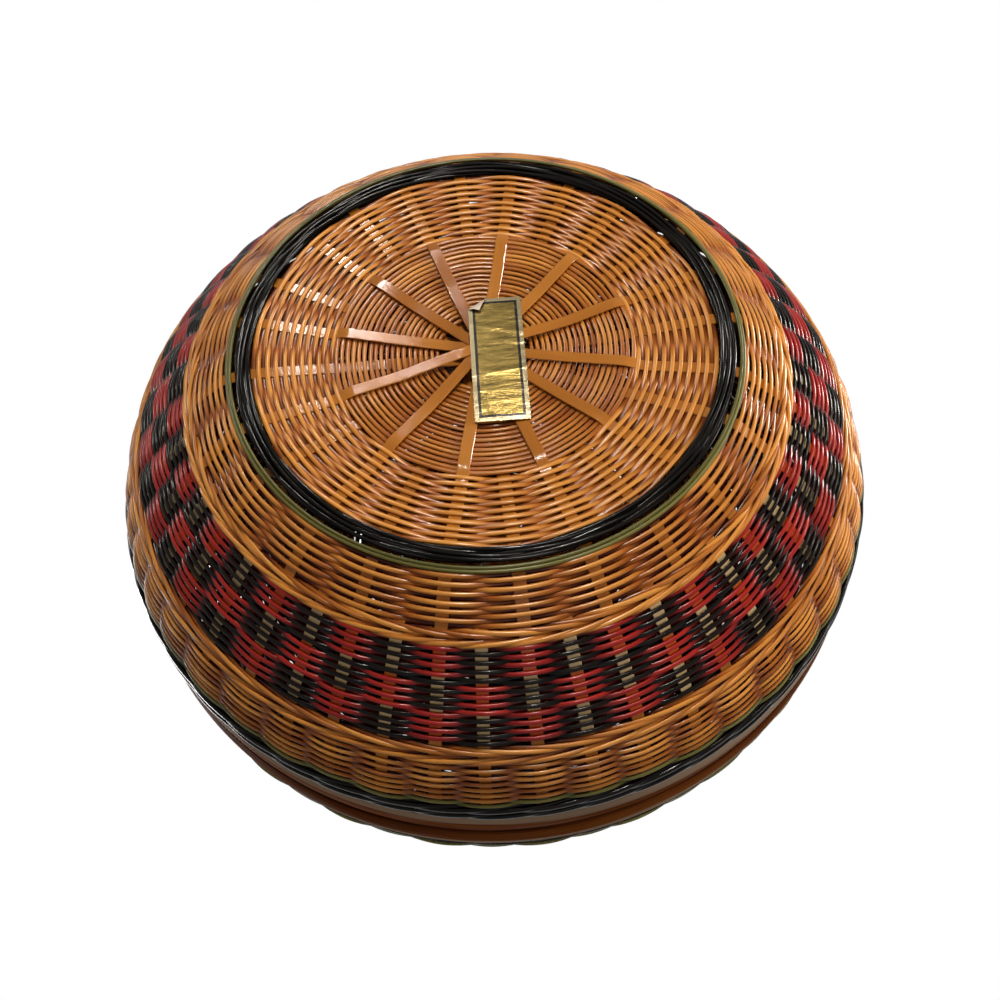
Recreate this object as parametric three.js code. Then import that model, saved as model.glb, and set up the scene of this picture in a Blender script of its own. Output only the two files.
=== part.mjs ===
// A round lidded basket woven from bamboo: a bowl on a low foot ring, and a domed lid that lifts off.
// Millimetres, +Z up. The origin is on the surface the basket stands on, under the middle of its foot.
import * as THREE from 'three';

// Sizes of the stuff it is woven from
const weaveThickness = 2.2;
const weaveRelief = 0.7;
const stripWidth = 3.5;
const stripThickness = 0.35;
const hoopThickness = 2;
const innerHoopThickness = 1.5;
const labelThickness = 0.2;

// Strips that cross the middle and run up the wall on both sides, and where the first one points
const stripCount = 12;
const stripAngle = 11.5;
const stackRadius = 8;
const rampRadius = 24;

// Stakes: the strips' ends, then as many again added between them where the weave spreads out
const stripEnds = 2 * stripCount;
const allStakes = 2 * stripEnds;

// Gap left between neighbouring pieces, and how many flats make a round
const seam = 0.3;
const facets = 2 * stripEnds;

// Foot ring and base
const footInnerRadius = 62;
const footStrandCount = 3;
const footStrandWidth = 1.35;
const footStrandEdge = 0.35;
const baseClearance = 1.2;
const baseDish = 3.5;
const baseEyeRadius = 12;
const baseFineRadius = 40;

// Bowl: its outside radius at the rim, the height where its wall turns upright, and how round it swells
const rimRadius = 109.8;
const equatorHeight = 60;
const wallRoundness = 1.85;

// Bands of the wall from the foot up to the rim, each on top of the one before
const footOliveBottom = 0.8;
const footOliveHeight = 1.95;
const lowerWeaveHeight = 7.75;
const lowerBorderHeight = 3.1;
const checkHeight = 20.1;
const upperBorderHeight = 5.7;
const upperWeaveHeight = 12.65;
const olivePairHeight = 2.55;
const walingHeight = 6.9;
const rimHoopHeight = 11.3;
const checkTiers = 3;
const walingBulge = 1;
const borderBulge = 0.5;

// Lip that finds the lid: the inner hoop stands above the outer one
const lipHeight = 4.5;
const lidRunningGap = 0.6;

// Lid: its hoop, then a dome. The spread and roundness shape its shoulder, and the bands run from there inwards.
const lidHoopHeight = 11.3;
const lidWalingHeight = 4.2;
const domeRise = 19;
const domeSpread = 2.4;
const domeRoundness = 0.6;
const lidOliveWidth = 1.2;
const lidOuterWeaveWidth = 7.1;
const lidOuterBorderWidth = 2.5;
const lidCheckWidth = 19;
const lidInnerBorderWidth = 2.8;
const lidCheckTiers = 2;
const crownRingRadius = 44;
const crownStrandCount = 2;
const crownStrandWidth = 1.7;
const crownStrandProud = 1.2;
const crownStrandEdge = 0.5;
const crownFineRadius = 26;

// Label on the underside
const labelWidth = 14;
const labelLength = 40;
const labelOffsetX = 3.2;
const labelOffsetY = 4.4;

// Sizes that follow from those above
const footOuterRadius = footInnerRadius + footStrandCount * footStrandWidth + (footStrandCount - 1) * seam;
const baseRadius = footInnerRadius - seam;
const stripDepth = weaveThickness + seam + stripThickness / 2;
const footOliveTop = footOliveBottom + footOliveHeight;
const lowerBorderBottom = footOliveTop + lowerWeaveHeight;
const checkBottom = lowerBorderBottom + lowerBorderHeight;
const checkTop = checkBottom + checkHeight;
const upperBorderTop = checkTop + upperBorderHeight;
const olivePairBottom = upperBorderTop + upperWeaveHeight;
const walingBottom = olivePairBottom + olivePairHeight;
const walingTop = walingBottom + walingHeight;
const hoopTop = walingTop + rimHoopHeight;
const hoopInnerRadius = rimRadius - hoopThickness;
const lipOuterRadius = rimRadius - stripDepth - stripThickness / 2 - seam;
const lipInnerRadius = lipOuterRadius - innerHoopThickness;
const lipTop = hoopTop + lipHeight;
const lidHoopBottom = hoopTop + seam;
const lidHoopTop = lidHoopBottom + lidHoopHeight;
const shoulderHeight = lidHoopTop + lidWalingHeight;
const lidInnerHoopBottom = lipTop + lidRunningGap;
const lidOliveRadius = rimRadius - lidOliveWidth;
const lidBorderRadius = lidOliveRadius - lidOuterWeaveWidth;
const lidCheckOuterRadius = lidBorderRadius - lidOuterBorderWidth;
const lidCheckInnerRadius = lidCheckOuterRadius - lidCheckWidth;
const lidInnerBorderRadius = lidCheckInnerRadius - lidInnerBorderWidth;

const natural = new THREE.MeshStandardMaterial({ color: 0xc07c3a, roughness: 0.45, metalness: 0 });
const honey = new THREE.MeshStandardMaterial({ color: 0xc98a45, roughness: 0.4, metalness: 0 });
const crimson = new THREE.MeshStandardMaterial({ color: 0x8e2226, roughness: 0.35, metalness: 0 });
const black = new THREE.MeshStandardMaterial({ color: 0x17120f, roughness: 0.3, metalness: 0 });
const olive = new THREE.MeshStandardMaterial({ color: 0x6b6638, roughness: 0.4, metalness: 0 });
const brown = new THREE.MeshStandardMaterial({ color: 0x5c3218, roughness: 0.35, metalness: 0 });
const gold = new THREE.MeshStandardMaterial({ color: 0xb89a4a, roughness: 0.35, metalness: 0.8 });

const basket = new THREE.Group();

function point(radius, height) {
  return new THREE.Vector2(radius, height);
}

// Height of the base's underside, which is dished up towards its middle
function baseHeight(radius) {
  return baseClearance + baseDish * (1 - (radius / baseRadius) ** 2);
}

function wallRadius(height) {
  const fall = Math.max(0, 1 - height / equatorHeight);
  return rimRadius - (rimRadius - footOuterRadius) * fall ** wallRoundness;
}

function domeHeight(radius) {
  return shoulderHeight + domeRise * (1 - Math.abs(radius / rimRadius) ** domeSpread) ** domeRoundness;
}

// A point of the base, the wall or the dome, at a depth measured inwards from its outer face
function basePoint(radius, depth = 0) {
  return point(radius, baseHeight(radius) + depth);
}

function wallPoint(height, depth = 0) {
  const step = 0.01;
  const slope = (wallRadius(height + step) - wallRadius(height)) / step;
  const length = Math.hypot(slope, 1);
  return point(wallRadius(height) - depth / length, height + depth * slope / length);
}

function domePoint(radius, depth = 0) {
  const step = 0.01;
  const slope = (domeHeight(radius) - domeHeight(radius - step)) / step;
  const length = Math.hypot(slope, 1);
  return point(radius + depth * slope / length, domeHeight(radius) - depth / length);
}

// Section of a band that follows one of those faces between two edges, less half a seam at each edge. Its outer
// face lies at a depth, or bulges between its edges.
function bandSection(pointAt, from, to, { cuts = 2, bulge = 0, depth = 0 } = {}) {
  const outer = [];
  const inner = [];
  const trim = Math.sign(to - from) * seam / 2;
  for (let i = 0; i <= cuts; i++) {
    const at = THREE.MathUtils.lerp(from + trim, to - trim, i / cuts);
    outer.push(pointAt(at, depth - bulge * Math.sin(Math.PI * i / cuts)));
    inner.unshift(pointAt(at, weaveThickness));
  }
  return [...outer, ...inner];
}

function boxSection(innerRadius, outerRadius, bottom, top) {
  return [point(innerRadius, bottom), point(outerRadius, bottom), point(outerRadius, top), point(innerRadius, top)];
}

// A ring turned from a section, with a corner over each stake. Its flats touch the true round from outside, or from
// inside where fitsInside is set. Where a hollow section is given, every second corner takes that one instead.
function addRing(group, name, section, material, { fitsInside = false, sides = facets, hollow = section } = {}) {
  const forwards = THREE.ShapeUtils.area(section) > 0;
  const stretch = fitsInside ? 1 : 1 / Math.cos(Math.PI / sides);
  const [profile, between] = [section, hollow].map((outline) => {
    const ordered = forwards ? outline : [...outline].reverse();
    return [...ordered, ordered[0]].map((p) => point(p.x * stretch, p.y));
  });
  const start = Math.PI / 2 + THREE.MathUtils.degToRad(stripAngle);
  const geometry = new THREE.LatheGeometry(profile, sides, start);
  for (let column = 1; column < sides; column += 2) {
    const turn = start + column * 2 * Math.PI / sides;
    between.forEach((p, i) => {
      const at = column * between.length + i;
      geometry.attributes.position.setXYZ(at, p.x * Math.sin(turn), p.y, p.x * Math.cos(turn));
    });
  }
  geometry.rotateX(Math.PI / 2);
  const mesh = new THREE.Mesh(geometry, material);
  mesh.name = name;
  group.add(mesh);
}

// A woven band, whose outer face is proud over each stake and drawn in between them
function addWoven(group, name, pointAt, from, to, stakes, material, cuts = 1) {
  const crest = bandSection(pointAt, from, to, { cuts });
  const hollow = bandSection(pointAt, from, to, { cuts, depth: weaveRelief });
  addRing(group, name, crest, material, { sides: 2 * stakes, hollow });
}

// The path's points moved sideways, for the two faces of a thin strip
function shifted(path, distance) {
  return path.map((at, i) => {
    const before = path[Math.max(i - 1, 0)];
    const after = path[Math.min(i + 1, path.length - 1)];
    const arriving = (i > 0 ? at : after).clone().sub(i > 0 ? before : at).normalize();
    const leaving = (i < path.length - 1 ? after : at).clone().sub(i < path.length - 1 ? at : before).normalize();
    const across = point(-arriving.y - leaving.y, arriving.x + leaving.x).normalize();
    const spread = across.x * -arriving.y + across.y * arriving.x;
    return at.clone().addScaledVector(across, distance / spread);
  });
}

// A flat ribbon whose middle line follows a path in an upright plane, turned about the basket's axis
function addRibbon(group, name, path, { width, thickness, angle, sideways = 0 }, material) {
  const outline = [...shifted(path, -thickness / 2), ...shifted(path, thickness / 2).reverse()];
  const geometry = new THREE.ExtrudeGeometry(new THREE.Shape(outline), { depth: width, bevelEnabled: false });
  geometry.translate(0, 0, sideways - width / 2);
  geometry.rotateX(Math.PI / 2);
  const mesh = new THREE.Mesh(geometry, material);
  mesh.name = name;
  mesh.rotation.z = THREE.MathUtils.degToRad(angle);
  group.add(mesh);
}

// Strips cross the middle in two stacks, one on each face of the fine weave. Those on the outer face slip
// through to the inner face where the fine weave ends.
function addStrips(group, prefix, { pointAt, middle, fineRadius, climb, outwards }) {
  const passRadius = fineRadius + seam + stripThickness / 2;
  const half = Math.floor(stripCount / 2);
  for (let i = 0; i < stripCount; i++) {
    const outside = i % 2 === 0;
    const level = Math.floor(i / 2) % half;
    const raised = stripThickness * level;
    const depth = outside ? -seam - stripThickness / 2 : stripDepth;
    const stackHeight = middle - outwards * (outside ? depth - raised : depth + raised);
    const path = [point(0, stackHeight), point(stackRadius, stackHeight)];
    path.push(pointAt(rampRadius < fineRadius ? rampRadius : (stackRadius + fineRadius) / 2, depth));
    path.push(pointAt(passRadius, depth));
    if (outside) {
      path.push(pointAt(passRadius, stripDepth));
    }
    path.push(...climb);
    const mirrored = path.slice(1).reverse().map((p) => point(-p.x, p.y));
    const name = `${prefix}_${String(i + 1).padStart(2, '0')}`;
    const shape = { width: stripWidth, thickness: stripThickness, angle: stripAngle + i * 180 / stripCount };
    addRibbon(group, name, [...mirrored, ...path], shape, honey);
  }
}

// Foot ring: black strands side by side, flat where they stand, with a pair of olive strands outside them
function addFoot(group) {
  const top = basePoint(baseRadius, stripDepth).y - stripThickness / 2 - seam;
  for (let i = 0; i < footStrandCount; i++) {
    const inside = footInnerRadius + i * (footStrandWidth + seam);
    const outside = inside + footStrandWidth;
    const section = [
      point(inside, footStrandEdge), point(inside + footStrandEdge, 0),
      point(outside - footStrandEdge, 0), point(outside, footStrandEdge),
      point(outside, top), point(inside, top),
    ];
    addRing(group, `foot_ring_strand_${i + 1}`, section, black);
  }
  const edge = footOuterRadius + seam;
  const upper = footOliveTop - seam / 2;
  const oliveSection = [
    point(edge, footOliveBottom), wallPoint(footOliveBottom), wallPoint(upper),
    wallPoint(upper, weaveThickness), point(edge, top),
  ];
  addRing(group, 'foot_olive_strands', oliveSection, olive);
}

function addBase(group) {
  const passWidth = 2 * seam + stripThickness;
  const fine = bandSection(basePoint, baseEyeRadius, baseFineRadius + seam / 2);
  const coarseFrom = baseFineRadius + passWidth - seam / 2;
  addRing(group, 'base_fine_weave', fine, natural);
  addWoven(group, 'base_outer_weave', basePoint, coarseFrom, baseRadius + seam / 2, stripEnds, natural, 2);
}

function addWall(group) {
  const addBand = (name, from, to, material, options) =>
    addRing(group, name, bandSection(wallPoint, from, to, options), material);
  addWoven(group, 'wall_weave_lower', wallPoint, footOliveTop, lowerBorderBottom, stripEnds, natural, 2);
  addBand('twined_border_lower', lowerBorderBottom, checkBottom, natural, { bulge: borderBulge });
  const tierHeight = (checkTop - checkBottom) / checkTiers;
  for (let i = 0; i < checkTiers; i++) {
    const from = checkBottom + i * tierHeight;
    const colour = i % 2 ? black : crimson;
    addWoven(group, `check_band_tier_${i + 1}`, wallPoint, from, from + tierHeight, allStakes, colour);
  }
  addBand('twined_border_upper', checkTop, upperBorderTop, natural, { bulge: borderBulge });
  addWoven(group, 'wall_weave_upper', wallPoint, upperBorderTop, olivePairBottom, allStakes, natural);
  addBand('wall_olive_strands', olivePairBottom, walingBottom, olive, { cuts: 1 });
  addBand('wall_black_waling', walingBottom, walingTop, black, { bulge: walingBulge });
}

function addRim(group) {
  const outer = boxSection(hoopInnerRadius, rimRadius, walingTop + seam / 2, hoopTop);
  const inner = boxSection(lipInnerRadius, lipOuterRadius, walingTop, lipTop);
  addRing(group, 'rim_hoop_outer', outer, brown);
  addRing(group, 'rim_hoop_inner', inner, brown, { fitsInside: true });
}

function addBodyStrips(group) {
  const climb = [basePoint(baseRadius, stripDepth)];
  const steps = 6;
  for (let i = 0; i <= steps; i++) {
    const height = THREE.MathUtils.lerp(footOliveTop, equatorHeight, i / steps);
    climb.push(wallPoint(height, stripDepth));
  }
  climb.push(point(rimRadius - stripDepth, hoopTop - seam));
  const middle = baseHeight(0);
  addStrips(group, 'base_strip', { pointAt: basePoint, middle, fineRadius: baseFineRadius, climb, outwards: -1 });
}

// The label lies flat on the stack of strips and follows them up at its two ends
function addLabel(group) {
  const levels = Math.floor(stripCount / 2);
  const flatHeight = baseHeight(0) - seam - levels * stripThickness - labelThickness / 2;
  const flat = stackRadius + 2 * seam;
  const rampEnd = baseHeight(rampRadius) - 2 * seam - stripThickness - labelThickness / 2;
  const slope = (rampEnd - flatHeight) / (rampRadius - flat);
  const low = labelOffsetY - labelLength / 2;
  const high = labelOffsetY + labelLength / 2;
  const path = [
    point(low, flatHeight + slope * (-low - flat)), point(-flat, flatHeight),
    point(flat, flatHeight), point(high, flatHeight + slope * (high - flat)),
  ];
  const shape = { width: labelWidth, thickness: labelThickness, angle: 90, sideways: labelOffsetX };
  addRibbon(group, 'label', path, shape, gold);
}

function addLidRim(group) {
  const hoop = boxSection(hoopInnerRadius, rimRadius, lidHoopBottom, lidHoopTop);
  const inner = boxSection(lipInnerRadius, lipOuterRadius, lidInnerHoopBottom, lidHoopTop);
  const middle = (lidHoopTop + shoulderHeight) / 2;
  const walingInner = rimRadius - weaveThickness;
  const waling = [
    point(walingInner, lidHoopTop + seam), point(rimRadius, lidHoopTop + seam),
    point(rimRadius + walingBulge, middle), point(rimRadius, shoulderHeight - seam / 2),
    point(walingInner, shoulderHeight - seam / 2),
  ];
  addRing(group, 'lid_hoop_outer', hoop, brown);
  addRing(group, 'lid_hoop_inner', inner, brown, { fitsInside: true });
  addRing(group, 'lid_black_waling', waling, black);
}

function addDome(group) {
  const addBand = (name, from, to, material, options) =>
    addRing(group, name, bandSection(domePoint, from, to, options), material);
  const oliveEnd = lidOliveRadius + seam / 2;
  const oliveSection = [
    point(rimRadius - weaveThickness, shoulderHeight + seam / 2), point(rimRadius, shoulderHeight + seam / 2),
    domePoint(oliveEnd), domePoint(oliveEnd, weaveThickness),
  ];
  addRing(group, 'lid_olive_strands', oliveSection, olive);
  addWoven(group, 'lid_weave_outer', domePoint, lidOliveRadius, lidBorderRadius, allStakes, natural, 2);
  addBand('lid_border_outer', lidBorderRadius, lidCheckOuterRadius, natural, { bulge: borderBulge });
  const tierWidth = (lidCheckOuterRadius - lidCheckInnerRadius) / lidCheckTiers;
  for (let i = 0; i < lidCheckTiers; i++) {
    const from = lidCheckOuterRadius - i * tierWidth;
    const colour = i % 2 ? black : crimson;
    addWoven(group, `lid_check_tier_${i + 1}`, domePoint, from, from - tierWidth, allStakes, colour);
  }
  addBand('lid_border_inner', lidCheckInnerRadius, lidInnerBorderRadius, natural, { bulge: borderBulge });
  const weaveEnd = crownRingOuterRadius() + seam / 2;
  addWoven(group, 'lid_weave_inner', domePoint, lidInnerBorderRadius, weaveEnd, stripEnds, natural, 2);
}

function crownRingOuterRadius() {
  return crownRingRadius + crownStrandCount * (crownStrandWidth + seam);
}

function addCrown(group) {
  for (let i = 0; i < crownStrandCount; i++) {
    const inside = crownRingRadius + i * (crownStrandWidth + seam);
    const outside = inside + crownStrandWidth;
    const top = domeHeight(inside) + crownStrandProud;
    const bottom = domeHeight(inside) - weaveThickness;
    const section = [
      point(inside, bottom), point(outside, bottom), point(outside, top - crownStrandEdge),
      point(outside - crownStrandEdge, top), point(inside + crownStrandEdge, top), point(inside, top - crownStrandEdge),
    ];
    addRing(group, `crown_ring_strand_${i + 1}`, section, black);
  }
  const passWidth = 2 * seam + stripThickness;
  const fine = bandSection(domePoint, baseEyeRadius, crownFineRadius + seam / 2);
  const coarseFrom = crownFineRadius + passWidth - seam / 2;
  addRing(group, 'crown_fine_weave', fine, natural);
  addWoven(group, 'crown_outer_weave', domePoint, coarseFrom, crownRingRadius - seam / 2, stripEnds, natural, 2);
}

function addLidStrips(group) {
  const climb = [];
  const steps = 7;
  const startTurn = Math.asin(crownRingRadius / rimRadius);
  for (let i = 0; i <= steps; i++) {
    const turn = THREE.MathUtils.lerp(startTurn, Math.PI / 2, i / steps);
    climb.push(domePoint(rimRadius * Math.sin(turn), stripDepth));
  }
  climb.push(point(rimRadius - stripDepth, lidInnerHoopBottom));
  const middle = domeHeight(0);
  addStrips(group, 'lid_strip', { pointAt: domePoint, middle, fineRadius: crownFineRadius, climb, outwards: 1 });
}

const bowl = new THREE.Group();
addFoot(bowl);
addBase(bowl);
addBodyStrips(bowl);
addLabel(bowl);
addWall(bowl);
addRim(bowl);

const lid = new THREE.Group();
addLidRim(lid);
addDome(lid);
addCrown(lid);
addLidStrips(lid);

basket.add(bowl, lid);

export default basket;
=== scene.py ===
"""Dresses the lidded bamboo basket: every weaver, stake and strip is a piece of real thickness."""
import math

import bpy
import numpy as np
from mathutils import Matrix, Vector


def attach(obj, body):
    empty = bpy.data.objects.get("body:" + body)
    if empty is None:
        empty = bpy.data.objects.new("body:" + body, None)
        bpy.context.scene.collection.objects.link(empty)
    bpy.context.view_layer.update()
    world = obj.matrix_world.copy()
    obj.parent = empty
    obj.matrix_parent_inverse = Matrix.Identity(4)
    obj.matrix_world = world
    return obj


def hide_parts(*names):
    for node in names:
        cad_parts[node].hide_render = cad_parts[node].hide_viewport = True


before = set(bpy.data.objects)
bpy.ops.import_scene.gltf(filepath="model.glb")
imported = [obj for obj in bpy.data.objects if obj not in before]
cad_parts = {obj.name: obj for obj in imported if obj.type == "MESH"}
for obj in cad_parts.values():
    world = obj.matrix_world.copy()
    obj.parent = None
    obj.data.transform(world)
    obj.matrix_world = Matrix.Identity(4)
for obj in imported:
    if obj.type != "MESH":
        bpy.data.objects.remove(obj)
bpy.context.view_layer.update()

# Sizes in millimetres, the same as in the CAD model. MM turns them into metres
MM = 0.001
BASE_RADIUS = 61.7
BASE_EDGE = 1.2
BASE_HOLLOW = 3.5
FOOT_RADIUS = 66.65
EQUATOR = 60.0
WALL_CURVE = 1.85
RIM_RADIUS = 109.8
SHOULDER = 88.6
DOME_RISE = 19
DOME_CURVE = (2.4, 0.6)
STRIP_WIDTH = 3.3
ADDED_WIDTH = 3.2
STRIP_THICKNESS = 0.38

# Radii of the hoops and of the stakes between them, and the heights where each hoop begins and ends
HOOP_RADII = (107.8, RIM_RADIUS)
LIP_RADII = (105.15, 106.65)
STAKE_RADIUS = 107.2
RIM_HOOP = (61.6, 72.8)
RIM_LIP = (61.5, 77.3)
LID_HOOP = (73.1, 84.4)
LID_LIP = (77.9, 84.4)

# Heights of the painted sheen on the outer hoops: a pale band painted where their rounded edge would reflect
# light
RIM_SHEEN = 64.2
LID_SHEEN = 82.6

# Depth of the middle of a weave inside the outer face
MIDDLE = 1.1

# Stakes: a strip's end at every 15 degrees
STRIPS = 12
STAKES = 2 * STRIPS
STAKE_STEP = 360 / STAKES
FIRST_STAKE = 11.5

# Where the strips' path is fixed: radii on the base and lid, and heights on the wall and between the hoops
STRIP_BASE_RADII = (44, 48, 54, 60)
STRIP_WALL_HEIGHTS = (2.4, 6, 10, 15, 20, 26, 32, 38, 44, 50, 56, 60)
STRIP_RIM_HEIGHTS = (64.0, 72.5)
STRIP_LID_RADII = (30, 36, 44, 54, 64, 74, 84, 92, 99, 104, 107)
STRIP_LID_HEIGHTS = (88.0, 84.0, 78.2)

# The base: radius where the fine weave ends, and places of the rows from the middle outwards
FINE_EDGE = 40.0
FINE_ROWS = np.arange(12.6, 39.8, 1.5)
COARSE_ROWS = np.linspace(40.9, 61.15, 19)

# The foot ring: radii of its twisted pairs, the height of their middle and the thickness of one strand
FOOT_PAIR_RADII = (62.85, 64.2, 65.55)
FOOT_PAIR_HEIGHT = 1.42
FOOT_STRAND = 1.14

# Places of the wall's bands, measured from the floor up along its outer face
FOOT_OLIVE_ROWS = (1.6, 2.6)
LOWER_ROWS = 3.75 + 1.115 * np.arange(12)
LOWER_BORDER = (17.95, 20.35)
CHECK_TIERS = 3
CHECK_ROWS = 21.95 + 1.108 * np.arange(24)
UPPER_BORDER = (49.9, 52.8)
UPPER_ROWS = 55.1 + 1.12 * np.arange(12)
OLIVE_ROWS = 68.75 + 1.15 * np.arange(2)
WALING_ROWS = (72.1, 75.3)
ADDED_STAKES = (16.5, 78.5)

# Bands of the lid: radii where they begin and end, and pitches of their rows
LID_PITCH = 1.12
LID_OUTER_BAND = (108.6, 101.5)
LID_OUTER_BORDER = 100.25
LID_INNER_BORDER = 78.6
LID_INNER_BAND = (77.2, 48.2)
CROWN_RING_RADII = (45.0, 47.0)
CROWN_BAND = (43.9, 26.4)
CROWN_PITCH = 1.1
CROWN_FINE_EDGE = 26.0
CROWN_FINE_ROWS = np.arange(25.6, 10, -1.5)

# Places near the lid's shoulder: the waling's up from the hoop, the others in along the dome
LID_WALING_ROWS = (1.15, 3.2)
LID_OLIVE_ROWS = (1.2, 2.3)
LID_ADDED_START = 2.0
LID_ADDED_RADIUS = 77.5

# Edges of the check tiers: heights on the wall and radii on the lid
CHECK_HEIGHTS = (13.6, 20.3, 27.0, 33.7)
LID_CHECK_RADII = (99.0, 89.5, 80.0)

# How a waled strand lies along the three stakes of its beat: stakes passed, then height or slide
WALE_HEIGHTS = ((0, -0.25), (0.5, 0.55), (1.2, 1), (1.7, 0.85), (2.05, 0.1), (2.5, -0.95), (3, -0.25))
WALE_SLIDES = ((0, -0.75), (2.1, 1), (2.55, 0.1), (3, -0.75))

# Spread of the tones of strips, stakes and waled strands, and the length of grain that a piece starts within
TONE_SPREAD = 0.12
GRAIN_LENGTH = 900

# The seeded source of the draws that the pieces share, made in the order of the pieces
chance = np.random.default_rng(7)


# Outer faces of the basket

class Face:
    """One outer face as a line in the plane through the axis, with places on it measured along the line."""

    def __init__(self, radii, heights):
        self.radii = np.asarray(radii, float)
        self.heights = np.asarray(heights, float)
        steps = np.hypot(np.diff(self.radii), np.diff(self.heights))
        self.along = np.concatenate([[0], np.cumsum(steps)])
        self.slope_r = np.gradient(self.radii, self.along)
        self.slope_z = np.gradient(self.heights, self.along)

    def at(self, along):
        """Radius, height and direction of the line at a place."""
        radius = np.interp(along, self.along, self.radii)
        height = np.interp(along, self.along, self.heights)
        slope_r = np.interp(along, self.along, self.slope_r)
        slope_z = np.interp(along, self.along, self.slope_z)
        length = np.hypot(slope_r, slope_z)
        return radius, height, slope_r / length, slope_z / length

    def point(self, along, depth):
        """Radius and height at a depth inside the face."""
        radius, height, slope_r, slope_z = self.at(along)
        return radius - slope_z * depth, height + slope_r * depth

    def at_height(self, height):
        """Place on the line at a height, on a face that only rises."""
        return float(np.interp(height, self.heights, self.along))

    def at_radius(self, radius):
        """Place on the line at a radius."""
        order = np.argsort(self.radii)
        return float(np.interp(radius, self.radii[order], self.along[order]))


def base_face():
    """The base, which is a little hollow under its middle."""
    radii = np.linspace(0, BASE_RADIUS + 1, 400)
    return Face(radii, BASE_EDGE + BASE_HOLLOW * (1 - (radii / BASE_RADIUS) ** 2))


def wall_face():
    """The wall, which curves out from the foot and stands upright above the equator."""
    heights = np.linspace(0, RIM_HOOP[1], 900)
    fall = np.maximum(0, 1 - heights / EQUATOR)
    return Face(RIM_RADIUS - (RIM_RADIUS - FOOT_RADIUS) * fall**WALL_CURVE, heights)


def dome_face():
    """The lid's dome, from the shoulder to the crown."""
    radii = RIM_RADIUS * np.sin(np.linspace(math.pi / 2, 0, 900))
    outer, inner = DOME_CURVE
    return Face(radii, SHOULDER + DOME_RISE * (1 - np.abs(radii / RIM_RADIUS) ** outer) ** inner)


BASE = base_face()
WALL = wall_face()
DOME = dome_face()
LID_SIDE = Face([RIM_RADIUS, RIM_RADIUS], [LID_HOOP[1], SHOULDER + 0.1])

# The ground under the foot ring, between two radii
GROUND_START, GROUND_END = 50, 80
GROUND = Face([GROUND_START, GROUND_END], [0, 0])


# Numbers that the shapes share

def waves(turn, size, seed, most=5):
    """A gentle seeded unevenness round the basket. turn is in radians."""
    own = np.random.default_rng(seed)
    total = np.zeros_like(turn)
    for k in range(1, most + 1):
        total += own.normal() / k**0.5 * np.sin(k * turn + own.uniform(0, 2 * math.pi))
    return size * total


def smooth_step(value):
    """0 below 0, 1 above 1 and an even bend between them."""
    value = np.clip(value, 0, 1)
    return value * value * (3 - 2 * value)


def signed_power(value, power):
    """A power of the size of a value, with the value's own sign. A power under 1 makes its waves fuller."""
    return np.sign(value) * np.abs(value) ** power


def smoothed(values):
    """A running mean of five values round a closed row."""
    return np.convolve(np.concatenate([values[-2:], values, values[:2]]), np.ones(5) / 5, "valid")


def running_length(steps):
    """Lengths reached at the start of each step, and after the last. steps are vectors."""
    return np.concatenate([[0], np.cumsum(np.linalg.norm(steps, axis=1))])


def full_turn(steps):
    """Even angles in radians, once round."""
    return np.linspace(0, 2 * math.pi, steps, endpoint=False)


def round_axis(radius, height, turn):
    """Points in space, with one row of radii and heights for each angle."""
    return np.stack([radius * np.cos(turn)[:, None], radius * np.sin(turn)[:, None], height], -1)


def directions(turn):
    """The directions away from the axis and round it at an angle."""
    level = np.zeros_like(turn)
    out = np.stack([np.cos(turn), np.sin(turn), level], -1)
    across = np.stack([-np.sin(turn), np.cos(turn), level], -1)
    return out, across


# Meshes

def signed_volume(points, faces):
    """Six times the volume that faces with equal numbers of corners enclose, over 0 if they look outwards."""
    total = 0.0
    for k in range(1, faces.shape[1] - 1):
        sides = np.cross(points[faces[:, k]], points[faces[:, k + 1]])
        total += np.einsum("ij,ij->i", points[faces[:, 0]], sides).sum()
    return total


def over_grid(value, steps, sides):
    """A value at each point of a tube, from one for the tube, one for each step or one for each point."""
    value = np.asarray(value, float)
    if value.ndim < 2:
        value = value.reshape(-1, 1)
    return np.broadcast_to(value, (steps, sides)).ravel()


def add_piece(name, mesh, body, finish, nodes):
    """An object that rides on a body and replaces nodes. finish is a material and a slot name, and the slot
    name is not used.
    """
    material, slot = finish
    mesh.materials.append(material)
    piece = bpy.data.objects.new(name, mesh)
    bpy.context.scene.collection.objects.link(piece)
    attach(piece, body)
    if nodes:
        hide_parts(*nodes)


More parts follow.
